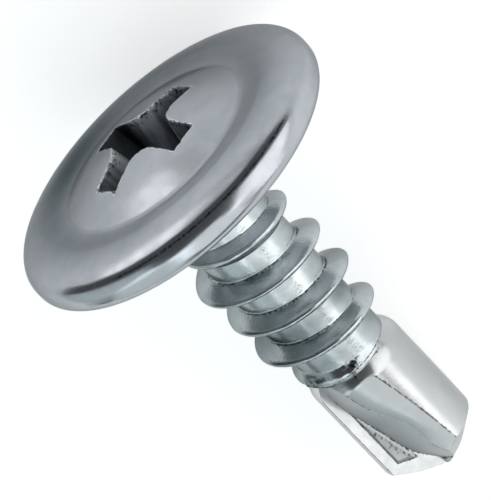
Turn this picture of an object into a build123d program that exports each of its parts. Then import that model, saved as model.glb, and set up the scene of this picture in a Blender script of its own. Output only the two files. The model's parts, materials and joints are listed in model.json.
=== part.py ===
from build123d import *
from math import asin, atan2, cos, degrees, hypot, pi, radians, sin
import os

# Self-drilling screw: a wafer head with a cross recess, a tapping thread and a two-flute drill point,
# cold-formed in one piece. It is modelled upright, with its axis on Z, the bearing face of the head
# at z = 0 and the tip below. It is then laid on its side as it comes to rest: on the rim of the head
# and on the two edges of one flute.

# Driving dimensions, in mm and degrees. Depths are measured down from the bearing face.
left_hand = True  # hand of the thread and of the flutes

head_diameter = 10.9
rim_height = 0.564  # bearing face to where the lip starts to round over
rim_bottom_radius = 0.42
lip_width = 0.32  # of the outermost part of the flange, which rounds down to the rim
lip_slope = 25.0  # fall of the crowned flange where the lip starts
flange_slope = 6.0  # its fall where it starts, at the hollow
flange_bend_radius = 0.9  # between the flange and the hollow
hollow_edge_radius = 4.0  # from the axis to where the hollow runs into that bend
hollow_slope = 4.0  # fall of the hollow's floor towards the axis
hollow_corner_radius = 0.16
dome_edge_radius = 3.28  # from the axis to where the dome's cone runs into the hollow's corner
dome_arc_radius = 2.6  # from the axis to where the dome straightens out into that cone
dome_radius = 7.4
under_head_radius = 0.3

recess_span = 4.1  # across opposite wings, at the mouth
recess_floor_span = 2.35
recess_wing_width = 0.98
recess_floor_wing_width = 0.74
recess_corner_radius = 0.7  # between neighbouring wings, at the mouth
recess_floor_corner_radius = 0.2
recess_mouth_drop = 0.25  # of the plane of the mouth, below the top of the dome
recess_wing_depth = 1.7
recess_point_radius = 0.5  # the cone below the wings
recess_point_depth = 0.35
recess_turn = 66.0  # of the first wing from the X axis

length = 13.25  # bearing face to tip
root_diameter = 2.84
drill_diameter = 3.38
drill_start = 8.28
shoulder_length = 0.38  # the taper from the root up to the drill body
shoulder_radius = 0.6  # where the taper runs into the drill body
point_height = 1.34
point_bulge = 0.1  # how far the cutting lips stand out from a straight cone

thread_diameter = 4.12
thread_pitch = 1.40
crest_width = 0.14
ridge_width = 0.68  # at the root
ridge_foot = 0.22  # how far the ridge's foot is buried in the shank
ridge_end_sink = 0.04  # how far its crest is buried where it starts and ends
thread_start = 1.45
thread_full_from = 3.4
thread_full_to = 5.9
thread_end = 8.2
thread_phase = 0.966  # depth of a crest where it crosses the X axis
sections_per_turn = 12

rake_direction = 69.3  # of the cutting face, seen along the axis, from the X axis
flute_rear = 3.9  # places along the flute, up from the edge of the drill point
flute_front = 2.75
flute_middle = 1.5
flute_end = 0.0
flute_tip = -1.0
floor_radius_rear = 1.42  # from the axis to the flute's floor, at each of these places
floor_radius_front = 1.37
floor_radius_middle = 1.06
floor_radius_end = 0.69
floor_radius_tip = 0.12
heel_direction_rear = -22.0  # of the flute's other wall, at each of these places
heel_direction_front = -29.0
heel_direction_middle = -35.0
heel_direction_end = -30.0
flute_reach = 4.0  # how far the flute's cut reaches outwards
pocket_depth = 0.12  # of the hollow in the cutting face
pocket_outer_radius = 1.34  # from the axis to its outer side, which runs along the drill body
pocket_inner_radius = 0.66  # from the axis to its lowest corner
pocket_top = 2.8  # places of its corners, up from the edge of the point
pocket_low = 0.11
pocket_tip = -0.34
pocket_taper = 30.0
flat_direction = 13.6  # way that the flat behind each cutting face looks
flat_distance = 1.389  # from the axis to the flat, level with the edge of the drill point
flat_slope = 3.7  # the flat leans out by this many degrees towards the neck

# Sizes that follow from them
head_radius = head_diameter / 2
root_radius = root_diameter / 2
drill_radius = drill_diameter / 2
thread_radius = thread_diameter / 2
point_depth = length - point_height  # depth of the edge between the drill body and its point
side = -1 if left_hand else 1
dome_slope = degrees(asin(dome_arc_radius / dome_radius))


def across(angle):
    """Unit vector across the axis, at an angle that grows against the way the screw is driven."""
    return Vector(cos(radians(angle)), side * sin(radians(angle)), 0)


def bend_width(radius, slope, end_slope):
    """Width across the axis of an arc that turns from a fall of one slope to a rise of another."""
    return radius * (sin(radians(slope)) + sin(radians(end_slope)))


def recess_section(height, span, wing_width, corner_radius):
    """Cross-shaped section of the recess at a height above the bearing face."""
    level = Plane(origin=(0, 0, height), x_dir=across(recess_turn), z_dir=(0, 0, 1))
    with BuildSketch(level) as section:
        Rectangle(span, wing_width)
        Rectangle(wing_width, span)
        corners = section.vertices().sort_by_distance(level.origin)[:4]
        fillet(corners, corner_radius)
    return section.sketch


def ridge_section(depth):
    """Section of the thread's ridge in the half-plane through the axis at the ridge's place."""
    turn = (depth - thread_phase) / thread_pitch * 2 * pi
    outward = Vector(cos(turn), -side * sin(turn), 0)
    rise = (depth - thread_start) / (thread_full_from - thread_start)
    fall = (thread_end - depth) / (thread_end - thread_full_to)
    fullness = sin(pi / 2 * max(0, min(rise, fall, 1)))
    foot = root_radius - ridge_foot
    low_crest = root_radius - ridge_end_sink
    crest = low_crest + (thread_radius - low_crest) * fullness
    half_plane = Plane(origin=(0, 0, -depth), x_dir=outward, z_dir=outward.cross(Vector(0, 0, 1)))
    with BuildSketch(half_plane) as section:
        with BuildLine():
            Polyline(
                (foot, -ridge_width / 2),
                (crest, -crest_width / 2),
                (crest, crest_width / 2),
                (foot, ridge_width / 2),
                close=True,
            )
        make_face()
    return section.sketch


def flute_section(place, floor_radius, heel_direction):
    """Wedge cut out of the drill body by a flute, at a place up from the edge of the point."""
    floor = across(rake_direction) * floor_radius
    with BuildSketch(Plane.XY.offset(place - point_depth)) as section:
        with BuildLine():
            Polyline(
                floor,
                floor + across(rake_direction) * flute_reach,
                floor + across(heel_direction) * flute_reach,
                close=True,
            )
        make_face()
    return section.sketch


# The head, drawn from its rim inwards: a crowned flange with a rounded lip, a hollow and a dome
lip_radius = lip_width / bend_width(1, 90, -lip_slope)
flange_bend_width = bend_width(flange_bend_radius, flange_slope, hollow_slope)
crown_width = head_radius - lip_width - hollow_edge_radius - flange_bend_width
crown_radius = crown_width / bend_width(1, lip_slope, -flange_slope)
hollow_corner_width = bend_width(hollow_corner_radius, dome_slope, hollow_slope)
hollow_width = hollow_edge_radius - dome_edge_radius - hollow_corner_width
cone_width = dome_edge_radius - dome_arc_radius
with BuildPart() as head:
    with BuildSketch(Plane.XZ) as outline:
        with BuildLine():
            lip = JernArc((head_radius, rim_height), (0, 1), lip_radius, 90 - lip_slope)
            crown = JernArc(lip @ 1, lip % 1, crown_radius, lip_slope - flange_slope)
            bend = JernArc(crown @ 1, crown % 1, flange_bend_radius, flange_slope + hollow_slope)
            hollow = PolarLine(bend @ 1, hollow_width / cos(radians(hollow_slope)), 180 + hollow_slope)
            corner = JernArc(hollow @ 1, hollow % 1, hollow_corner_radius, -hollow_slope - dome_slope)
            cone = PolarLine(corner @ 1, cone_width / cos(radians(dome_slope)), 180 - dome_slope)
            dome_height = (cone @ 1).Y + dome_radius * (1 - cos(radians(dome_slope)))
            TangentArc(cone @ 1, (0, dome_height), tangent=cone % 1)
            Polyline(
                (0, dome_height),
                (0, -2 * under_head_radius),
                (root_radius, -2 * under_head_radius),
                (root_radius, 0),
                (head_radius, 0),
                (head_radius, rim_height),
            )
        make_face()
        fillet(outline.vertices().sort_by_distance((head_radius, 0))[0], rim_bottom_radius)
        fillet(outline.vertices().sort_by_distance((root_radius, 0))[0], under_head_radius)
    revolve(axis=Axis.Z)

# The cross recess: four wings that taper to a floor, and a cone below them
recess_top = dome_height + 0.2
recess_mouth_height = dome_height - recess_mouth_drop
recess_floor = recess_mouth_height - recess_wing_depth
wing_taper = (recess_span - recess_floor_span) / recess_wing_depth
top_span = recess_span + wing_taper * (recess_top - recess_mouth_height)
mouth_section = recess_section(recess_top, top_span, recess_wing_width, recess_corner_radius)
floor_section = recess_section(
    recess_floor, recess_floor_span, recess_floor_wing_width, recess_floor_corner_radius
)
with BuildPart() as recess:
    loft([mouth_section, floor_section])
    with Locations((0, 0, recess_floor)):
        Cone(0, recess_point_radius, recess_point_depth, align=(Align.CENTER, Align.CENTER, Align.MAX))

# One flute: a wedge whose floor nears the axis towards the tip
with BuildPart() as flute:
    loft(
        [
            flute_section(flute_rear, floor_radius_rear, heel_direction_rear),
            flute_section(flute_front, floor_radius_front, heel_direction_front),
            flute_section(flute_middle, floor_radius_middle, heel_direction_middle),
            flute_section(flute_end, floor_radius_end, heel_direction_end),
            flute_section(flute_tip, floor_radius_tip, heel_direction_end),
            flute_section(-1.2 * point_height, floor_radius_tip, heel_direction_end),
        ],
        ruled=True,
    )

# The hollow in its cutting face: a three-sided pocket between the floor, the margin and the lip
cutting_face = Plane(
    origin=(0, 0, -point_depth),
    x_dir=across(rake_direction),
    z_dir=across(rake_direction + 90),
)
with BuildPart() as pocket:
    with BuildSketch(cutting_face):
        with BuildLine():
            Polyline(
                (pocket_outer_radius, -pocket_low * side),
                (pocket_outer_radius, -pocket_top * side),
                (pocket_inner_radius, -pocket_tip * side),
                close=True,
            )
        make_face()
    extrude(amount=pocket_depth, taper=pocket_taper)

# The flat behind each cutting face, as a block outside it
lean = radians(flat_slope)
flat_normal = across(flat_direction) * cos(lean) - Vector(0, 0, sin(lean))
flat_origin = across(flat_direction) * flat_distance - Vector(0, 0, point_depth)
flat_plane = Plane(origin=flat_origin, x_dir=across(flat_direction + 90), z_dir=flat_normal)
with BuildPart() as heel:
    with BuildSketch(flat_plane):
        Rectangle(flute_reach, 2 * (point_depth - drill_start))
    extrude(amount=1)

# The thread's ridge, lofted through sections all the way along its helix
ridge_steps = round((thread_end - thread_start) / thread_pitch * sections_per_turn)
ridge_step = (thread_end - thread_start) / ridge_steps
with BuildPart() as ridge:
    loft([ridge_section(thread_start + ridge_step * count) for count in range(ridge_steps + 1)])

# The drill end: shoulder, body and a point of two cones, the outer one steeper
slant = hypot(drill_radius, point_height)
bulge = (
    drill_radius / 2 + point_bulge * point_height / slant,
    -(point_depth + length) / 2 - point_bulge * drill_radius / slant,
)
with BuildPart() as drill_end:
    with BuildSketch(Plane.XZ) as outline:
        with BuildLine():
            Polyline(
                (0, shoulder_length - drill_start),
                (root_radius, shoulder_length - drill_start),
                (drill_radius, -drill_start),
                (drill_radius, -point_depth),
                bulge,
                (0, -length),
                close=True,
            )
        make_face()
        fillet(outline.vertices().sort_by_distance((drill_radius, -drill_start))[0], shoulder_radius)
    revolve(axis=Axis.Z)

# The screw, upright: the shank takes the thread first, then the drill end and the head
with BuildPart() as screw:
    Cylinder(root_radius, point_depth, align=(Align.CENTER, Align.CENTER, Align.MAX))
    add(ridge.part)
    add(drill_end.part)
    add(head.part)
    add(recess.part, mode=Mode.SUBTRACT)
    with PolarLocations(0, 2):
        add(flute.part, mode=Mode.SUBTRACT)
    with PolarLocations(0, 2):
        add(heel.part, mode=Mode.SUBTRACT)
    with PolarLocations(0, 2):
        add(pocket.part, mode=Mode.SUBTRACT)

# Laid on its side: one flute is below, with its cutting edge and its heel edge on the ground at the
# edge of the point, and the rim of the head touches the ground with its lower rounding
lip_corner = across(rake_direction) * drill_radius
floor_corner = across(rake_direction) * floor_radius_end
wall = across(heel_direction_end)
flat = across(flat_direction)
heel_corner = floor_corner + wall * ((flat_distance - flat.dot(floor_corner)) / flat.dot(wall))
upward = (lip_corner - heel_corner).cross(Vector(0, 0, side)).normalized()
drill_reach = upward.dot(heel_corner)
rim_reach = head_radius - rim_bottom_radius
run = point_depth + rim_bottom_radius
tilt = atan2(rim_reach - drill_reach, run) + asin(rim_bottom_radius / hypot(run, rim_reach - drill_reach))
ground = Plane(
    origin=(0, 0, 0),
    x_dir=upward * sin(tilt) - Vector(0, 0, cos(tilt)),
    z_dir=upward * cos(tilt) + Vector(0, 0, sin(tilt)),
)
resting = ground.to_local_coords(screw.part)
box = resting.bounding_box()
with BuildPart() as laid:
    with Locations((-box.center().X, -box.center().Y, -box.min.Z)):
        add(resting)

laid.part.label = "self_drilling_screw"
os.makedirs("parts", exist_ok=True)
export_step(laid.part, "parts/self_drilling_screw.step")
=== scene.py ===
import json
from math import acos, asin, atan2, cos, degrees, exp, hypot, pi, radians, sin, sqrt, tan

import bmesh
import bpy
from mathutils import Matrix, Vector, noise


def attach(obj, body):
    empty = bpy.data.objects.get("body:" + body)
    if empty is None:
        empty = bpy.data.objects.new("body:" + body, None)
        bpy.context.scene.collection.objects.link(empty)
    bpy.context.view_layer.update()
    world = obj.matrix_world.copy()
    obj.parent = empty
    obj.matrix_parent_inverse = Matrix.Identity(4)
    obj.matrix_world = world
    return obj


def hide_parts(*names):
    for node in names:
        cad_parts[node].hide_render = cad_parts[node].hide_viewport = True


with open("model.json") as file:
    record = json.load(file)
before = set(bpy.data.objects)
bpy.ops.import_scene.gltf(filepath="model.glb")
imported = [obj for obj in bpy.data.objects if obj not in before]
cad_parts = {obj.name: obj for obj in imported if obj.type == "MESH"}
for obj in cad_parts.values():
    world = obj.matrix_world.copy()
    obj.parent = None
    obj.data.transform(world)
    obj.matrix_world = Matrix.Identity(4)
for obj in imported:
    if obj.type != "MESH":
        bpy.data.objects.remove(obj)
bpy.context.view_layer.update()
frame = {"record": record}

# A wafer-head self-drilling screw, in three pieces that merge into one: head, shank and drill end.
# They are built upright in millimetres, with the bearing face of the head at z = 0 and the tip below,
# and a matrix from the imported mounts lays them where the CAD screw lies. Depths are below that face,
# angles in degrees. The sizes are the solid's own, but for those that a comment says are not.
mm = 0.001
side = -1  # hand of the thread and of the flutes: -1 is left

head_radius = 5.45
rim_bottom_radius = 0.42
dome_height = 2.03
dome_radius = 7.4
dome_arc_radius = 2.6
dome_edge_radius = 3.206  # less than the solid's 3.28, as the corner beside it is wider here
hollow_edge_radius = 4.0
hollow_slope = 4.0
hollow_corner_radius = 0.5  # softer than the solid's 0.16
shelf_slope = 6.0
shelf_radius = 0.9
crown_edge_radius = 5.13
crown_slope = 25.0
under_head_radius = 0.3

recess_span = 4.1
recess_floor_span = 2.35
wing_width = 0.98
floor_wing_width = 0.74
wing_corner_radius = 0.7
floor_corner_radius = 0.2
mouth_height = 1.78
wing_depth = 1.7
recess_point_depth = 0.35
recess_turn = 66.0
mouth_edge = 0.05  # how far the mouth rounds over, down its walls and out onto the dome

length = 13.25
root_radius = 1.42
drill_radius = 1.69
drill_start = 8.28
shoulder_length = 0.38
shoulder_radius = 0.6
point_height = 1.34
point_bulge = 0.1
point_depth = length - point_height

thread_radius = 2.06
thread_pitch = 1.40
crest_width = 0.14
ridge_width = 0.68
thread_start = 1.45
thread_full_from = 3.4
thread_full_to = 5.9
thread_end = 8.2
thread_phase = 0.966

rake_direction = 69.3
flute_places = (3.9, 2.75, 1.5, 0.0, -1.0)  # up from the edge between the drill body and its point
floor_radii = (1.42, 1.37, 1.06, 0.69, 0.12)
heel_directions = (-22.0, -29.0, -35.0, -30.0, -30.0)
at_edge = flute_places.index(0.0)
flat_direction = 13.6
flat_distance = 1.389
flat_slope = 3.7
flat_crown = 0.05  # the solid's flats have none
pocket_depth = 0.055  # shallower than the solid's 0.12
pocket_corners = ((1.34, 2.8), (0.66, -0.34), (1.34, 0.11))  # from the axis, and up from the edge

skin_scale = 0.999  # about the middle of the bearing face, so that the skins stay in the solid's box
floor_gap = 1e-7  # in metres, and no point of the skins is lower


def across(angle, radius=1.0):
    """Point across the axis; the angle grows against the way the screw is driven."""
    return Vector((radius * cos(radians(angle)), radius * side * sin(radians(angle)), 0))


def angle_of(x, y):
    """The angle of a point, counted as across() counts it."""
    return degrees(atan2(side * y, x))


def angle_from(direction, angle, period=360):
    """How far an angle is from a direction, at most half a period either way."""
    return (angle - direction + period / 2) % period - period / 2


def between(value, stops, results):
    """Piecewise straight interpolation; stops run up or down."""
    if (stops[0] - value) * (stops[-1] - stops[0]) >= 0:
        return results[0]
    for a, b, x, y in zip(stops, stops[1:], results, results[1:]):
        if (value - a) * (value - b) <= 0:
            return x + (y - x) * (value - a) / (b - a)
    return results[-1]


def eased(value, stops, results):
    """Smooth interpolation through the same stops, which run down."""
    if value >= stops[0]:
        return results[0]
    if value <= stops[-1]:
        return results[-1]
    slopes = [0.0]
    for index in range(1, len(stops) - 1):
        slopes.append((results[index + 1] - results[index - 1]) / (stops[index + 1] - stops[index - 1]))
    slopes.append((results[-1] - results[-2]) / (stops[-1] - stops[-2]))
    for index in range(len(stops) - 1):
        if value >= stops[index + 1]:
            span = stops[index + 1] - stops[index]
            t = (value - stops[index]) / span
            return (
                results[index] * (1 + 2 * t) * (1 - t) ** 2
                + slopes[index] * span * t * (1 - t) ** 2
                + results[index + 1] * t * t * (3 - 2 * t)
                + slopes[index + 1] * span * t * t * (t - 1)
            )


def smooth_step(value):
    """0 up to zero, 1 from one on, and an even curve between."""
    value = max(0.0, min(1.0, value))
    return value * value * (3 - 2 * value)


def hump(value, width):
    """1 at zero, fading out smoothly over the width to either side."""
    return exp(-((value / width) ** 2))


def grain(x, y, z, scale):
    """Smooth random value between about -1 and 1, the same for the same place."""
    return noise.noise(Vector((x, y, z)) * scale)


# --- where the screw lies -------------------------------------------------------------------


def lay_down_matrix():
    """From the upright screw in millimetres to the frame in metres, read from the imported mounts."""
    mounts = {mount["name"]: mount for mount in frame["record"]["mounts"]}
    tipward = Vector(mounts["bearing_face"]["axis"]).normalized()
    centre = Vector(mounts["cross_recess"]["pos_m"]) + tipward * mouth_height * mm
    upward = (Vector(mounts["bearing_face"]["pos_m"]) - centre).normalized()
    lip = across(rake_direction, drill_radius)
    floor = across(rake_direction, floor_radii[at_edge])
    wall = across(heel_directions[at_edge])
    flat = across(flat_direction)
    heel = floor + wall * ((flat_distance - flat.dot(floor)) / flat.dot(wall))
    rest = (lip - heel).cross(Vector((0, 0, side))).normalized()
    up_z = -tipward
    sideways = up_z.cross(upward)
    x_axis = upward * rest.x - sideways * rest.y
    y_axis = upward * rest.y + sideways * rest.x
    turned = Matrix((x_axis, y_axis, up_z)).transposed().to_4x4()
    return Matrix.Translation(centre) @ turned @ Matrix.Scale(mm, 4)


laid = lay_down_matrix()


# --- meshes ---------------------------------------------------------------------------------


def skin_mesh(name, rows, marks, closed, weld, smooth_angle):
    """Skin over rows of points marked for specks, grime and painted shade, lost gloss; closed rows are rings.
    """
    body = bmesh.new()
    # The grime layer also carries painted shade.
    layers = [body.verts.layers.float.new(mark) for mark in ("specks", "grime_and_shade", "matte")]
    grid = []
    for row, row_marks in zip(rows, marks):
        line = []
        for point, point_marks in zip(row, row_marks):
            spot = laid @ (Vector(point) * skin_scale)
            spot.z = max(spot.z, floor_gap)
            vert = body.verts.new(spot)
            for layer, mark in zip(layers, point_marks):
                vert[layer] = mark
            line.append(vert)
        grid.append(line)
    count = len(rows[0])
    for low, high in zip(grid, grid[1:]):
        for place in range(count if closed else count - 1):
            following = (place + 1) % count
            body.faces.new((low[place], low[following], high[following], high[place]))
    bmesh.ops.remove_doubles(body, verts=body.verts, dist=weld)
    bmesh.ops.dissolve_degenerate(body, edges=body.edges, dist=1e-7)
    bmesh.ops.holes_fill(body, edges=[edge for edge in body.edges if len(edge.link_faces) == 1], sides=0)
    bmesh.ops.recalc_face_normals(body, faces=body.faces)
    for face in body.faces:
        face.smooth = True
    for edge in body.edges:
        if len(edge.link_faces) == 2 and edge.calc_face_angle(0.0) > radians(smooth_angle):
            edge.smooth = False
    mesh = bpy.data.meshes.new(name)
    body.to_mesh(mesh)
    body.free()
    piece = bpy.data.objects.new(name, mesh)
    bpy.context.scene.collection.objects.link(piece)
    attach(piece, "root")
    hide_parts("self_drilling_screw")
    return piece


def arc(centre_x, centre_y, radius, start, end, steps):
    """Points of an arc, angles in degrees."""
    turns = [radians(start + (end - start) * step / steps) for step in range(steps + 1)]
    return [(centre_x + radius * cos(turn), centre_y + radius * sin(turn)) for turn in turns]


# --- head -----------------------------------------------------------------------------------

dome_centre = dome_height - dome_radius
dome_slope = asin(dome_arc_radius / dome_radius)


def dome_z(radius):
    """Height of the dome: a sphere that runs out into a cone."""
    if radius < dome_arc_radius:
        return dome_centre + sqrt(dome_radius**2 - radius**2)
    return dome_centre + dome_radius * cos(dome_slope) - (radius - dome_arc_radius) * tan(dome_slope)


def cross_outline(span, width, corner, end_corner=0.07):
    """Cross-shaped outline, the same number of points whatever its size, one wing after another."""
    half, reach = width / 2, span / 2
    shoulder = half + corner
    side_length, end_length = reach - end_corner - shoulder, width - 2 * end_corner
    side_steps, end_steps, corner_steps, end_corner_steps = 14, 10, 8, 3
    wing = []
    wing += [(shoulder + x, -shoulder + y) for x, y in arc(0, 0, corner, 135, 90, corner_steps)]
    wing += [(shoulder + side_length * step / side_steps, -half) for step in range(1, side_steps)]
    wing += arc(reach - end_corner, -half + end_corner, end_corner, -90, 0, end_corner_steps)
    wing += [(reach, -half + end_corner + end_length * step / end_steps) for step in range(1, end_steps)]
    wing += arc(reach - end_corner, half - end_corner, end_corner, 0, 90, end_corner_steps)
    wing += [
        (reach - end_corner - side_length * step / side_steps, half) for step in range(1, side_steps)
    ]
    wing += [(shoulder + x, shoulder + y) for x, y in arc(0, 0, corner, -90, -134, corner_steps)]
    outline = []
    for turn in range(4):
        angle = radians(90 * turn)
        outline += [(x * cos(angle) - y * sin(angle), x * sin(angle) + y * cos(angle)) for x, y in wing]
    return outline


def turned_outline(outline, height_of):
    """The outline on the head, turned to the recess's direction."""
    along = across(recess_turn)
    beside = Vector((-along.y, along.x, 0))
    row = []
    for x, y in outline:
        place = along * x + beside * y
        row.append((place.x, place.y, height_of(hypot(x, y))))
    return row


def dull_and_shaded(x, y):
    """Share of the far side of the head, where the plating is duller and painted shade darkens it."""
    shaded_side, spread = 165, 50
    return hump(angle_from(shaded_side, angle_of(x, y)), spread)


def uneven(x, y):
    """How far the top of the head lies under its true shape, from the blow that formed it."""
    return 0.004 * (1 + grain(x, y, 0, 0.9)) + 0.0012 * (1 + grain(x, y, 3, 3.5))


def recess_wall_marks(x, y, rise):
    """Specks towards the mouth, streaks down the walls, painted shade out in the wings, and more painted
    shade and specks on the walls of one wing.
    """
    wing_start = 0.9
    # Painted shade over the walls of one wing, and more specks there.
    shaded_wall = smooth_step((-x - 1.1) / 0.3) * smooth_step((0.15 - y) / 0.5)
    speck = 0.22 + 0.2 * hump(rise - 1, 0.12) + 0.4 * shaded_wall
    streak = 0.6 * grain(x, y, 0, 6.0)
    # Painted shade, deeper out in the wings.
    wing_shade = 0.42 * smooth_step((hypot(x, y) - wing_start) / 0.4)
    return speck, 0.05 + streak + wing_shade + 0.9 * shaded_wall, 0.9


def recess_rows(mouth_row):
    """Rows of the recess: out of its point to the floor's outline and up the walls towards the mouth."""
    floor_height = mouth_height - wing_depth
    floor_row = turned_outline(
        cross_outline(recess_floor_span, floor_wing_width, floor_corner_radius), lambda r: floor_height
    )
    rows, marks = [], []
    bottom = floor_height - recess_point_depth
    for share in (0.02, 0.25, 0.5, 0.75, 0.92):
        sink = bottom + (floor_height - bottom) * share
        rows.append([(x * share, y * share, sink) for x, y, z in floor_row])
        # The recess's point is darkened with painted shade, besides its specks and lost gloss.
        marks.append([(0.3, 0.4, 0.3)] * len(floor_row))
    wall_steps = 30
    for step in range(wall_steps + 1):
        share = step / wall_steps * (1 - mouth_edge / wing_depth)
        row, row_marks = [], []
        for a, b in zip(floor_row, mouth_row):
            x, y, z = (a[axis] + (b[axis] - a[axis]) * share for axis in range(3))
            swell = 1 + 0.012 * grain(x, y, z * 0.35, 4.5) * share
            row.append((x * swell, y * swell, z))
            row_marks.append(recess_wall_marks(x, y, step / wall_steps))
        rows.append(row)
        marks.append(row_marks)
    return rows, marks


def nicked_edge(under, mouth_row, brim_row):
    """The two rows over the edge of the mouth, with small nicks where the punch tore it."""
    nick_scale, nick_start = 0.16, 0.12
    lip_row, outer_row = [], []
    for a, m, b in zip(under, mouth_row, brim_row):
        nick = max(0.0, grain(m[0], m[1], 0, 5.0) - nick_start) * nick_scale
        reach = hypot(b[0], b[1])
        out = 1 + nick / reach
        x, y, z = ((a[axis] + 2 * m[axis] + b[axis]) / 4 for axis in range(3))
        lip_row.append((x * out, y * out, z - nick * 0.3))
        outer_row.append((b[0] * out, b[1] * out, dome_z(reach * out)))
    return lip_row, outer_row


def dome_marks(x, y):
    """Painted shade and lost gloss of the dome: lightest across its middle, darker to the sides and on the
    far side.
    """
    dull_and_shade = dull_and_shaded(x, y)
    # The second value is painted shade, the third lost gloss.
    return 0.0, 0.3 - 0.12 * hump(y, 2) + 0.4 * dull_and_shade, 0.3 * dull_and_shade


def flange_marks(x, y, radius, height):
    """Dark specks along the line where the flange turns down, painted into the dark band it reflects on its
    near side; painted shade above that line, in the hollow, more to the sides, and on the far side.
    """
    dull_and_shade = dull_and_shaded(x, y)
    speck_height, speck_spread = 0.955, 0.035
    hollow_middle, hollow_spread = 3.8, 0.9
    # Painted reflection: dark specks along the band that the rim reflects dark, on its near side only.
    on_dark_band = hump(height - speck_height, speck_spread) * smooth_step(x - 3.3) * (radius > 5.0)
    shaded = hump(radius - hollow_middle, hollow_spread)
    # Painted shade: above the rim's line, in the hollow, more towards the sides, and on the far side.
    shade_and_dirt = 0.12 * smooth_step((height - 0.75) / 0.2) + 0.15 * dull_and_shade
    shade_and_dirt += (0.44 - 0.3 * hump(y, 2.1) + 0.37 * dull_and_shade) * shaded
    return 0.58 * on_dark_band, shade_and_dirt, 0.7 * dull_and_shade * shaded


def head_rows():
    """Rows of the head: out of the recess's point, up its walls, over the mouth and round to the neck."""
    mouth_row = turned_outline(cross_outline(recess_span, wing_width, wing_corner_radius), dome_z)
    rows, marks = recess_rows(mouth_row)
    brim_span, brim_width = recess_span + 2 * mouth_edge, wing_width + 2 * mouth_edge
    brim_row = turned_outline(cross_outline(brim_span, brim_width, wing_corner_radius - mouth_edge), dome_z)
    lip_row, outer_row = nicked_edge(rows[-1], mouth_row, brim_row)
    rows += [lip_row, outer_row]
    count = len(brim_row)
    marks += [[(0.5, 0.2)] * count, [(0.3, 0.0)] * count]
    first = atan2(brim_row[0][1], brim_row[0][0])
    turns = [first + 2 * pi * place / count for place in range(count)]
    dome_steps = 26
    for step in range(1, dome_steps + 1):
        share = step / dome_steps
        row = []
        for point, turn in zip(outer_row, turns):
            x = point[0] + (dome_edge_radius * cos(turn) - point[0]) * share
            y = point[1] + (dome_edge_radius * sin(turn) - point[1]) * share
            row.append((x, y, dome_z(hypot(x, y)) - uneven(x, y)))
        rows.append(row)
        marks.append([dome_marks(x, y) for x, y, z in row])
    formed_above = 0.3  # the blow that formed the head left its underside true
    for radius, height in outer_profile():
        row, row_marks = [], []
        for turn in turns:
            x, y = radius * cos(turn), radius * sin(turn)
            sunk = uneven(x, y) if height > formed_above else 0.0
            row.append((x, y, height - sunk))
            row_marks.append(flange_marks(x, y, radius, height))
        rows.append(row)
        marks.append(row_marks)
    return rows, marks


class Pen:
    """Draws a profile outward; slopes are in degrees, positive where the profile falls."""

    def __init__(self, radius, height, slope):
        self.radius, self.height, self.slope = radius, height, slope
        self.points = []

    def straight(self, reach, steps):
        """A straight run out to this distance from the axis."""
        run = reach - self.radius
        start = self.height
        begin = self.radius
        for step in range(1, steps + 1):
            self.radius = begin + run * step / steps
            self.height = start - run * step / steps * tan(radians(self.slope))
            self.points.append((self.radius, self.height))

    def bend_to(self, slope, radius, steps):
        """An arc of this radius that ends at the slope."""
        turn = 1 if slope > self.slope else -1
        centre_x = self.radius - turn * radius * sin(radians(self.slope))
        centre_y = self.height - turn * radius * cos(radians(self.slope))
        begin = self.slope
        for step in range(1, steps + 1):
            angle = radians(begin + (slope - begin) * step / steps)
            self.radius = centre_x + turn * radius * sin(angle)
            self.height = centre_y + turn * radius * cos(angle)
            self.points.append((self.radius, self.height))
        self.slope = slope


def bend_radius(start, end, slope_from, slope_to):
    """Radius of the arc that turns between two slopes over a distance across the axis."""
    return abs((end - start) / (sin(radians(slope_to)) - sin(radians(slope_from))))


def outer_profile():
    """Profile of the head from the edge of the dome over the crowned rim and in under the head."""
    pen = Pen(dome_edge_radius, dome_z(dome_edge_radius), degrees(dome_slope))
    pen.bend_to(-hollow_slope, hollow_corner_radius, 10)
    pen.straight(hollow_edge_radius, 8)
    pen.bend_to(shelf_slope, shelf_radius, 8)
    pen.bend_to(crown_slope, bend_radius(pen.radius, crown_edge_radius, shelf_slope, crown_slope), 20)
    pen.bend_to(90, bend_radius(crown_edge_radius, head_radius, crown_slope, 90), 20)
    pen.points.append((head_radius, rim_bottom_radius))
    low_arc = arc(head_radius - rim_bottom_radius, rim_bottom_radius, rim_bottom_radius, 0, -90, 14)
    neck = root_radius + under_head_radius
    bearing_edge = head_radius - rim_bottom_radius
    bearing = [(bearing_edge + (neck - bearing_edge) * step / 10, 0.0) for step in range(1, 10)]
    fillet = arc(neck, -under_head_radius, under_head_radius, 90, 180, 8)
    buried = 0.2  # the skin ends this far inside the shank
    return pen.points + low_arc[1:] + bearing + fillet + [(root_radius - buried, -under_head_radius)]


# --- shank ----------------------------------------------------------------------------------


def thread_fullness(depth):
    """How much of its height the ridge has at a depth, from 0 to 1."""
    rise = (depth - thread_start) / (thread_full_from - thread_start)
    fall = (thread_end - depth) / (thread_end - thread_full_to)
    return sin(pi / 2 * max(0.0, min(rise, fall, 1.0)))


def crest_change(depth):
    """The crests are not all rolled to the same height."""
    return between(depth, (2.0, 2.7, 3.4, 4.1, 4.8, 5.5, 6.2), (0, -0.07, 0.05, 0, -0.05, 0, 0))


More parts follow.
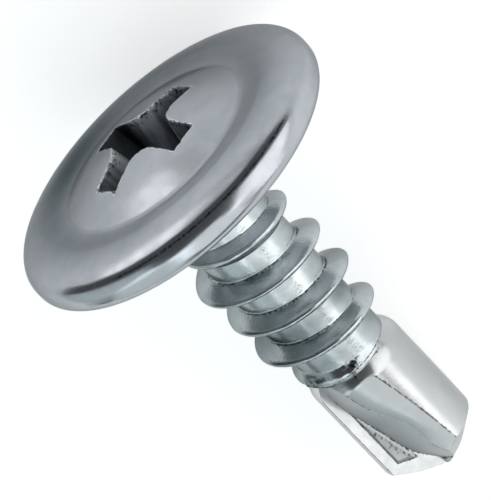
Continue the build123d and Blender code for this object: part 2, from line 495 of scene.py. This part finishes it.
def ridge_profile():
    """Offsets along the axis and heights, from 0 at the root to 1 at the crest, of the ridge."""
    flank = (ridge_width - crest_width) / 2
    blend = 0.07  # the finer rows start this far from the ridge
    root_steps, ridge_steps = 8, 44
    start = -ridge_width / 2 - blend
    root_length, ridge_length = (thread_pitch - ridge_width) / 2, ridge_width + 2 * blend
    root = [-thread_pitch / 2 + root_length * step / root_steps for step in range(root_steps + 1)]
    root = [value for value in root if value < start]
    ridge = [start + ridge_length * step / ridge_steps for step in range(ridge_steps + 1)]
    offsets = root + ridge + [-value for value in reversed(root)]
    root_soft, crest_soft = 0.14, 0.2  # shares of the flank that round over at its foot and at its top
    heights = []
    for value in offsets:
        near = (ridge_width / 2 - abs(value)) / flank
        height = max(0.0, min(1.0, near))
        if abs(near) < root_soft:
            height = (near + root_soft) ** 2 / (4 * root_soft)
        if near > 1 - crest_soft:
            over = min(1.0, (near - 1 + crest_soft) / (crest_soft + crest_width / 2 / flank))
            height = 1 - crest_soft * (1 - over) ** 2
        heights.append(height)
    return offsets, heights


def burr(x, y, z):
    """How far the burrs where the flutes start stand out at a place, and how near it is to one."""
    angle = angle_of(x, y)
    near_depth, near_direction = 7.72, 6
    far_depth, far_direction = 7.75, 63
    near = hump(z + near_depth, 0.2) * hump(angle_from(near_direction, angle, 180), 13)
    far = hump(z + far_depth, 0.17) * hump(angle_from(far_direction, angle, 180), 18)
    return max(near, far) * (0.02 + 0.08 * grain(x, y, z, 6.0)), max(near, 0.85 * far)


def thread_marks(level, turn, offset, height, fullness, burred):
    """Specks along the ridge's crest and foot, painting lines of shade there, and at the shoulder; painted
    shade in two bands, on the roots but where the highlight falls, and on the crests.
    """
    crest_line, foot_line, shoulder_line = 0.05, -0.33, 7.9
    highlight_side = -17
    upper_shade_band, lower_shade_band = 5.8, 7.25
    angle = angle_from(0, degrees(-turn))
    patchy = 0.5 + 0.5 * grain(cos(turn) * 2, sin(turn) * 2, level, 1.3)
    # The crest and foot lines paint thin lines of shade, as specks, along the crest and in the crease at its
    # foot.
    speck = 0.62 * hump(offset - crest_line, 0.04) + 0.6 * hump(offset - foot_line, 0.04)
    speck *= fullness * (0.55 + 0.6 * patchy)
    speck = max(speck, 0.62 * burred, 0.75 * hump(level - shoulder_line, 0.022))
    # Painted shade: two bands across the thread, and the roots all round but where the highlight falls.
    thread_shade = 0.36 * hump(level - upper_shade_band, 0.4) + 0.15 * hump(level - lower_shade_band, 0.35)
    thread_shade += 0.42 * (1 - hump(angle - highlight_side, 18 + 10 * patchy)) * (1 - height)
    # Painted shade on the crests too, more on one side; the burrs add grime.
    shade_and_dirt = thread_shade + 0.2 * burred + height * (0.24 + 0.24 * smooth_step((angle - 5) / 40))
    return speck, shade_and_dirt


def shank_rows():
    """Rows along the helix, each across one pitch of the thread; its turns meet halfway between ridges."""
    head_overlap, drill_overlap = 0.08, 0.15
    top = under_head_radius - head_overlap
    bottom = drill_start - shoulder_length + drill_overlap
    offsets, heights = ridge_profile()
    steps_per_turn = 150
    first = top - thread_pitch / 2
    last = bottom + thread_pitch / 2
    total = int((last - first) / thread_pitch * steps_per_turn)
    rows, marks = [], []
    for step in range(total + 1):
        depth = first + (last - first) * step / total
        turn = (depth - thread_phase) / thread_pitch * 2 * pi
        fullness = thread_fullness(depth)
        crest = thread_radius + crest_change(depth)
        row, row_marks = [], []
        for offset, height in zip(offsets, heights):
            level = min(max(depth + offset, top), bottom)
            radius = root_radius + (crest - root_radius) * height * fullness
            radius += 0.006 * grain(cos(turn) * radius, sin(turn) * radius, level, 2.2)
            lump, burred = burr(radius * cos(turn), -side * radius * sin(turn), -level)
            radius += lump
            row.append((radius * cos(turn), -side * radius * sin(turn), -level))
            row_marks.append(thread_marks(level, turn, offset, height, fullness, burred))
        rows.append(row)
        marks.append(row_marks)
    return rows, marks


# --- drill end ------------------------------------------------------------------------------


def drill_profile():
    """Depths and radii of the drill end before its flutes are cut."""
    start = drill_start - shoulder_length
    turn = atan2(drill_radius - root_radius, shoulder_length)
    run = shoulder_radius * (1 - cos(turn)) / sin(turn)
    hidden_rim = (start - 0.02, root_radius - 0.03)
    profile = [hidden_rim, (start, root_radius)]
    taper_length = drill_start - run * cos(turn) - start
    taper_rise = drill_radius - run * sin(turn) - root_radius
    taper_steps = 4
    for step in range(1, taper_steps + 1):
        share = step / taper_steps
        profile.append((start + taper_length * share, root_radius + taper_rise * share))
    centre = drill_start + run
    bend_steps = 7
    for step in range(1, bend_steps + 1):
        angle = turn * (1 - step / bend_steps)
        radius = drill_radius - shoulder_radius * (1 - cos(angle))
        profile.append((centre - shoulder_radius * sin(angle), radius))
    profile.append((point_depth, drill_radius))
    slant = hypot(drill_radius, point_height)
    blunt = 0.03  # rounds the bulge off at its middle
    tip_steps = 24
    for step in range(1, tip_steps + 1):
        share = step / tip_steps
        out = point_bulge * (sqrt(1 + blunt) - sqrt((2 * share - 1) ** 2 + blunt))
        depth = point_depth + point_height * share + out * drill_radius / slant
        profile.append((depth, drill_radius * (1 - share) + out * point_height / slant))
    return profile


def pocket(reach, place):
    """How deep the hollow in the cutting face is at a place, and how near that is to its edge."""
    distances = []
    for (x0, y0), (x1, y1) in zip(pocket_corners, pocket_corners[1:] + pocket_corners[:1]):
        run, rise = x1 - x0, y1 - y0
        distances.append(((place - y0) * run - (reach - x0) * rise) / hypot(run, rise))
    inside = min(distances)
    wall_width = 0.12
    return pocket_depth * smooth_step(inside / wall_width), hump(inside - 0.02, 0.04)


line_steps = 1.2  # width of a line of specks along an edge, in steps of the section


def rake_marks(share, sunk, edge, fluted):
    """Marks of the cutting face: specks round the pocket and in its upper part, which is also dull."""
    in_pocket = min(1.0, sunk / pocket_depth)
    upper = 0.42 * in_pocket * hump(share - 0.2, 0.25)
    return max(0.5 * edge, upper, 0.55 * hump(share, 0.04) * fluted), 0.13 - 0.05 * in_pocket, 0.9 * in_pocket


def land_marks(step, steps, fluted):
    """Marks of the round land: a line of specks along each side, and darker past the middle."""
    lines = max(0.55 * hump(steps - step, line_steps), 0.7 * hump(step, line_steps) * fluted)
    return lines, 0.3 * hump(step / steps - 0.55, 0.25)


def flat_marks(step, steps, ends, tip):
    """Marks of the flat: lines of specks along its sides and at the tip, and painted shade towards the flute.
    """
    lines = 0.6 * hump(step, line_steps) + 0.5 * ends * hump(steps - step, line_steps)
    # Painted shade, darker towards the flute.
    return lines + tip, 0.28 + 0.22 * (step / steps) ** 3


def wall_marks(share, ends, tip, fluted):
    """Marks of the heel wall, which is dull: specks in its two creases and at the tip."""
    creases = max(0.6 * hump(share, 0.04) * ends, 0.5 * hump(1 - share, 0.04)) * fluted
    return max(creases, tip), 0.16, 0.8


def drill_section(depth, body_radius):
    """One closed section: rake face, round land, flat and heel wall, twice round."""
    least = 1e-4  # keeps the walls of the flute from shrinking to nothing
    place = point_depth - depth
    floor_radius = min(eased(place, flute_places, floor_radii), body_radius - least)
    flat_at = flat_distance + place * tan(radians(flat_slope))
    floor = across(rake_direction, floor_radius)
    wall = across(eased(place, flute_places, heel_directions))
    flat = across(flat_direction)
    along = floor.dot(wall)
    to_circle = -along + sqrt(max(0.0, along**2 + body_radius**2 - floor_radius**2))
    to_flat = (flat_at - flat.dot(floor)) / flat.dot(wall)
    corner = floor + wall * max(least, min(to_circle, to_flat))
    corner_angle = angle_of(corner.x, corner.y)
    flat_edge = flat_direction - degrees(acos(max(-1.0, min(1.0, flat_at / body_radius))))
    flat_edge = min(flat_edge, corner_angle)
    begin, end = (flat_at * tan(radians(angle - flat_direction)) for angle in (flat_edge, corner_angle))

    # How strong the marks are that come and go along the drill end
    shoulder_line, tip_place, flute_start, flute_middle = 8.03, -1.02, 3.6, 1.5
    shoulder = 0.7 * hump(depth - shoulder_line, 0.03)
    tip = 0.6 * hump(place - tip_place, 0.09)
    fluted = smooth_step((flute_start - place) / 0.1)
    ends = 1 - 0.8 * hump(place - flute_middle, 1.0)

    points, marks = [], []
    rake_steps, land_steps, flat_steps, wall_steps = 42, 52, 34, 44
    for step in range(rake_steps):
        share = step / rake_steps
        spot = floor_radius + (body_radius - floor_radius) * share
        sunk, edge = pocket(spot, place)
        points.append(across(rake_direction, spot) + across(rake_direction + 90, sunk))
        marks.append(rake_marks(share, sunk, edge, fluted))
    for step in range(land_steps):
        angle = rake_direction + (180 + flat_edge - rake_direction) * step / land_steps
        points.append(across(angle, body_radius))
        marks.append(land_marks(step, land_steps, fluted))
    for step in range(flat_steps):
        share = step / flat_steps
        offset = begin + (end - begin) * share
        swell = flat_crown * smooth_step(place / 1.6) * 4 * share * (1 - share)
        spot = flat * (flat_at + swell) + across(flat_direction + 90, offset)
        if spot.length > body_radius:
            spot = spot.normalized() * body_radius
        points.append(-spot)
        marks.append(flat_marks(step, flat_steps, ends, tip))
    for step in range(wall_steps):
        share = step / wall_steps
        points.append(-(corner + (floor - corner) * share))
        marks.append(wall_marks(share, ends, tip, fluted))
    points += [-point for point in points]
    marks += marks

    lined_side = -25
    row, row_marks = [], []
    for point, (speck, shade_and_dirt, *matte) in zip(points, marks):
        lump, burred = burr(point.x, point.y, -depth)
        lined = hump(angle_from(lined_side, angle_of(point.x, point.y), 180), 30)
        row.append((point.x * (1 + lump / 1.5), point.y * (1 + lump / 1.5), -depth))
        row_marks.append((max(speck, 0.62 * burred, shoulder * lined), shade_and_dirt + 0.2 * burred, *matte))
    return row, row_marks


def drill_rows():
    """Rows of the drill end, from the shoulder down the body to the tip."""
    profile = drill_profile()
    depths = [depth for depth, radius in profile]
    radii = [radius for depth, radius in profile]
    levels = [depth for depth in depths if depth < point_depth]
    shoulder_end = levels[-1]
    body_length = point_depth - shoulder_end
    body_steps, tip_steps = 110, 50
    levels += [shoulder_end + body_length * step / body_steps for step in range(1, body_steps + 1)]
    levels += [point_depth + point_height * step / tip_steps for step in range(1, tip_steps)]
    sections = [drill_section(level, between(level, depths, radii)) for level in levels]
    tip_blunting, tip_radius = 0.008, 0.015
    sections.append(drill_section(length - tip_blunting, tip_radius))
    return [row for row, row_marks in sections], [row_marks for row, row_marks in sections]


# --- materials ------------------------------------------------------------------------------


def node(tree, kind, **values):
    """A new node with these settings."""
    made = tree.nodes.new(kind)
    for key, value in values.items():
        setattr(made, key, value)
    return made


def zinc_material(name, colour, edge_tint, beaten, mottling):
    """Zinc plating: mottled blue-grey metal, with dark specks, grime, painted shade and lost gloss where
    the mesh is marked for them. The edge_tint darkens the metal seen edge on, beaten is the strength of
    the bumps and mottling the share by which the colour varies."""
    material = bpy.data.materials.new(name)
    material.use_nodes = True
    tree = material.node_tree
    shader = tree.nodes["Principled BSDF"]
    shader.inputs["Metallic"].default_value = 1.0
    shader.inputs["Specular Tint"].default_value = (edge_tint, edge_tint, edge_tint, 1)
    place = node(tree, "ShaderNodeTexCoord")

    def clouds(scale, detail, distortion=0.0):
        made = node(tree, "ShaderNodeTexNoise")
        made.inputs["Scale"].default_value = scale
        made.inputs["Detail"].default_value = detail
        made.inputs["Distortion"].default_value = distortion
        tree.links.new(place.outputs["Object"], made.inputs["Vector"])
        return made.outputs["Fac"]

    def remap(value, low, high, to_low, to_high):
        made = node(tree, "ShaderNodeMapRange")
        for socket, number in zip(("From Min", "From Max", "To Min", "To Max"), (low, high, to_low, to_high)):
            made.inputs[socket].default_value = number
        tree.links.new(value, made.inputs["Value"])
        return made.outputs["Result"]

    def blend(factor, first, second):
        made = node(tree, "ShaderNodeMix", data_type="RGBA")
        tree.links.new(factor, made.inputs["Factor"])
        for socket, source in (("A", first), ("B", second)):
            if isinstance(source, tuple):
                made.inputs[socket].default_value = (*source, 1)
            else:
                tree.links.new(source, made.inputs[socket])
        return made.outputs["Result"]

    def sum_of(first, second):
        made = node(tree, "ShaderNodeMath", operation="ADD")
        tree.links.new(first, made.inputs[0])
        tree.links.new(second, made.inputs[1])
        return made.outputs["Value"]

    def marked(mark):
        return node(tree, "ShaderNodeAttribute", attribute_name=mark).outputs["Fac"]

    mottle = remap(clouds(1500.0, 3.0, 0.6), 0.35, 0.65, 0.0, 1.0)
    fine = clouds(11000.0, 2.0)
    pale = tuple(min(1.0, channel * (1 + mottling)) for channel in colour)
    deep = tuple(channel * (1 - mottling * share) for channel, share in zip(colour, (1.4, 1.1, 1.0)))
    grime_and_shade_colour = tuple(channel * shade for channel, shade in zip(colour, (0.1, 0.13, 0.14)))
    speck_colour = (0.03, 0.035, 0.036)
    # The grime mark darkens the colour: grime, and painted shade on much of the head, thread and drill end.
    tone = blend(marked("grime_and_shade"), blend(mottle, deep, pale), grime_and_shade_colour)
    shown = remap(sum_of(marked("specks"), fine), 0.86, 1.08, 0.0, 0.9)
    tree.links.new(blend(shown, tone, speck_colour), shader.inputs["Base Color"])
    roughness = 0.22
    patchy = remap(mottle, 0.0, 1.0, roughness * 1.12, roughness * 0.9)
    most_lost = 0.4
    lost = remap(marked("matte"), 0.0, 1.0, 0.0, most_lost)
    tree.links.new(sum_of(patchy, lost), shader.inputs["Roughness"])
    bump = node(tree, "ShaderNodeBump")
    bump.inputs["Strength"].default_value = beaten
    bump.inputs["Distance"].default_value = 0.02 * mm
    tree.links.new(sum_of(clouds(4200.0, 4.0), fine), bump.inputs["Height"])
    tree.links.new(bump.outputs["Normal"], shader.inputs["Normal"])
    return material


head = skin_mesh("head", *head_rows(), closed=True, weld=1e-7, smooth_angle=34)
shank = skin_mesh("threaded_shank", *shank_rows(), closed=False, weld=2e-6, smooth_angle=60)
drill = skin_mesh("drill_end", *drill_rows(), closed=True, weld=1e-7, smooth_angle=24)
# The head's plating is given a darker copy of the zinc colour, as painted shade.
head.data.materials.append(
    zinc_material("zinc_head_shaded", (0.45, 0.468, 0.495), edge_tint=0.45, beaten=0.06, mottling=0.035)
)
shank.data.materials.append(
    zinc_material("zinc_shank", (0.62, 0.655, 0.665), edge_tint=0.5, beaten=0.26, mottling=0.09)
)
drill.data.materials.append(
    zinc_material("zinc_point", (0.59, 0.598, 0.603), edge_tint=0.65, beaten=0.07, mottling=0.03)
)


# --- floor, light and camera ----------------------------------------------------------------


def pale_ground(name, base, shown):
    """A plain surface of a base grey, which keeps shadows, and which to the camera and in reflections
    also glows with the strength shown. Both fade where its mesh is marked with less tone."""
    material = bpy.data.materials.new(name)
    material.use_nodes = True
    tree = material.node_tree
    tree.nodes.clear()
    out = node(tree, "ShaderNodeOutputMaterial")
    plain = node(tree, "ShaderNodeBsdfDiffuse")
    glow = node(tree, "ShaderNodeEmission")
    tone = node(tree, "ShaderNodeAttribute", attribute_name="tone").outputs["Fac"]
    colour = node(tree, "ShaderNodeMix", data_type="RGBA")
    colour.inputs["A"].default_value = (0.02, 0.02, 0.02, 1)
    colour.inputs["B"].default_value = (base, base, base, 1)
    tree.links.new(tone, colour.inputs["Factor"])
    tree.links.new(colour.outputs["Result"], plain.inputs["Color"])
    tree.links.new(tone, glow.inputs["Color"])
    path = node(tree, "ShaderNodeLightPath")
    direct = node(tree, "ShaderNodeMath", operation="MAXIMUM")
    tree.links.new(path.outputs["Is Camera Ray"], direct.inputs[0])
    tree.links.new(path.outputs["Is Glossy Ray"], direct.inputs[1])
    either = node(tree, "ShaderNodeMath", operation="MAXIMUM")
    tree.links.new(direct.outputs[0], either.inputs[0])
    tree.links.new(path.outputs["Is Transmission Ray"], either.inputs[1])
    strength = node(tree, "ShaderNodeMath", operation="MULTIPLY")
    strength.inputs[1].default_value = shown
    tree.links.new(either.outputs[0], strength.inputs[0])
    tree.links.new(strength.outputs[0], glow.inputs["Strength"])
    both = node(tree, "ShaderNodeAddShader")
    tree.links.new(plain.outputs[0], both.inputs[0])
    tree.links.new(glow.outputs[0], both.inputs[1])
    tree.links.new(both.outputs[0], out.inputs["Surface"])
    return material


def round_floor(name, middle, pale_reach, reach, material):
    """A round floor, pale but for its rim, which darkens outwards."""
    ground = bmesh.new()
    tone = ground.verts.layers.float.new("tone")
    turns, rim_steps = 96, 8
    centre = ground.verts.new(middle)
    centre[tone] = 1.0
    inner = None
    for step in range(rim_steps + 1):
        radius = pale_reach + (reach - pale_reach) * step / rim_steps
        ring = []
        for place in range(turns):
            turn = 2 * pi * place / turns
            vert = ground.verts.new(middle + Vector((radius * cos(turn), radius * sin(turn), 0)))
            vert[tone] = 1 - smooth_step(step / rim_steps)
            ring.append(vert)
        for place in range(turns):
            after = (place + 1) % turns
            if inner:
                ground.faces.new((inner[place], ring[place], ring[after], inner[after]))
            else:
                ground.faces.new((centre, ring[place], ring[after]))
        inner = ring
    mesh = bpy.data.meshes.new(name)
    ground.to_mesh(mesh)
    ground.free()
    floor = bpy.data.objects.new(name, mesh)
    bpy.context.scene.collection.objects.link(floor)
    floor.data.materials.append(material)


def heading(azimuth, elevation):
    """Direction in the frame; azimuth 0 is to the right of the picture, 90 up it, both along the floor."""
    east = Vector((view_right.x, view_right.y, 0)).normalized()
    north = Vector((0, 0, 1)).cross(east)
    flat = east * cos(radians(azimuth)) + north * sin(radians(azimuth))
    return flat * cos(radians(elevation)) + Vector((0, 0, sin(radians(elevation))))


lamp_distance = 0.5
aim_height = 0.005  # of the point that the lamps look at, the middle of the screw


def softbox(name, azimuth, elevation, width, height, radiance, colour=(1, 1, 1)):
    """A soft lamp aimed at the screw; its width and height are given as the angles they span."""
    lamp = bpy.data.lights.new(name, "AREA")
    lamp.shape = "RECTANGLE"
    lamp.size = 2 * lamp_distance * tan(radians(width / 2))
    lamp.size_y = 2 * lamp_distance * tan(radians(height / 2))
    lamp.energy = radiance * pi * lamp.size * lamp.size_y
    lamp.color = colour
    towards = heading(azimuth, elevation)
    rig = bpy.data.objects.new(name, lamp)
    rig.location = Vector((0, 0, aim_height)) + towards * lamp_distance
    rig.rotation_euler = towards.to_track_quat("Z", "Y").to_euler()
    bpy.context.scene.collection.objects.link(rig)


# The camera, from a fit to the photograph. It is placed by the point on the axis at the height of the
# rim's middle, which lies at rim_pixel in the picture.
camera_tilt = radians(65.883)  # off the screw's axis
camera_roll = radians(46.388)
camera_distance = 144.8
rim_middle_height = 0.507
rim_pixel = (170.12, 166.0)
pixels_per_mm = 33.784  # at that point
focal_pixels = pixels_per_mm * camera_distance
image_width, image_height = 491, 500
sensor_width = 36.0


def camera_axes():
    """Right, up and back of the camera in the upright frame."""
    tipward = Vector((0, 0, -1))
    nearward = across(0)
    sideward = across(90)
    back = -cos(camera_tilt) * tipward + sin(camera_tilt) * nearward
    down_axis = sin(camera_tilt) * tipward + cos(camera_tilt) * nearward
    right = cos(camera_roll) * down_axis - sin(camera_roll) * sideward
    down = sin(camera_roll) * down_axis + cos(camera_roll) * sideward
    return right, -down, back


def place_camera():
    """Makes the camera, turned so that the screw lies where the photograph has it; returns its right."""
    right, up, back = camera_axes()
    spot = Vector((0, 0, rim_middle_height)) + back * camera_distance
    shift_x = image_width / 2 - rim_pixel[0]
    shift_y = image_height / 2 - rim_pixel[1]
    sight = (-back * focal_pixels + right * shift_x - up * shift_y).normalized()
    new_back = -sight
    new_right = up.cross(new_back).normalized()
    new_up = new_back.cross(new_right)
    turn = laid.to_3x3() * (1 / mm)
    basis = Matrix((turn @ new_right, turn @ new_up, turn @ new_back)).transposed()
    camera = bpy.data.cameras.new("camera")
    camera.sensor_width = sensor_width
    camera.sensor_fit = "AUTO"
    camera.lens = focal_pixels / max(image_width, image_height) * sensor_width
    camera.clip_start = 0.01
    camera.clip_end = 10.0
    rig = bpy.data.objects.new("camera", camera)
    rig.matrix_world = Matrix.Translation(laid @ spot) @ basis.to_4x4()
    bpy.context.scene.collection.objects.link(rig)
    bpy.context.scene.camera = rig
    return turn @ right


view_right = place_camera()

round_floor(
    "floor",
    heading(-110, 0) * 0.1,
    pale_reach=0.13,
    reach=0.17,
    material=pale_ground("pale_ground", base=0.9, shown=0.5),
)

# Lamps: azimuth, elevation, width, height, radiance and colour. The key shows in the right of the thread
# and in the cutting face, the side lamps in the rim and in the near side of the drill end, and the low
# ones beyond the head in its dome and hollow.
softbox("key", 35, 19, 72, 60, 1.7)
softbox("low_right", -12, 3, 30, 16, 0.65)
softbox("side_right", -33, 44, 44, 60, 1.12, (0.96, 1.0, 1.0))
softbox("side_front", -86, 34, 48, 66, 0.84, (0.9, 1.0, 1.0))
softbox("side_left", -136, 33, 48, 66, 0.66, (0.87, 1.0, 1.0))
softbox("low_wide", 148, -2, 50, 15, 1.0)
softbox("low_strip", 151, 2, 24, 20, 1.4)

world = bpy.data.worlds.new("world")
world.use_nodes = True
dim_blue = (0.10, 0.105, 0.11, 1)
world.node_tree.nodes["Background"].inputs["Color"].default_value = dim_blue
bpy.context.scene.world = world
bpy.context.scene.view_settings.view_transform = "Standard"
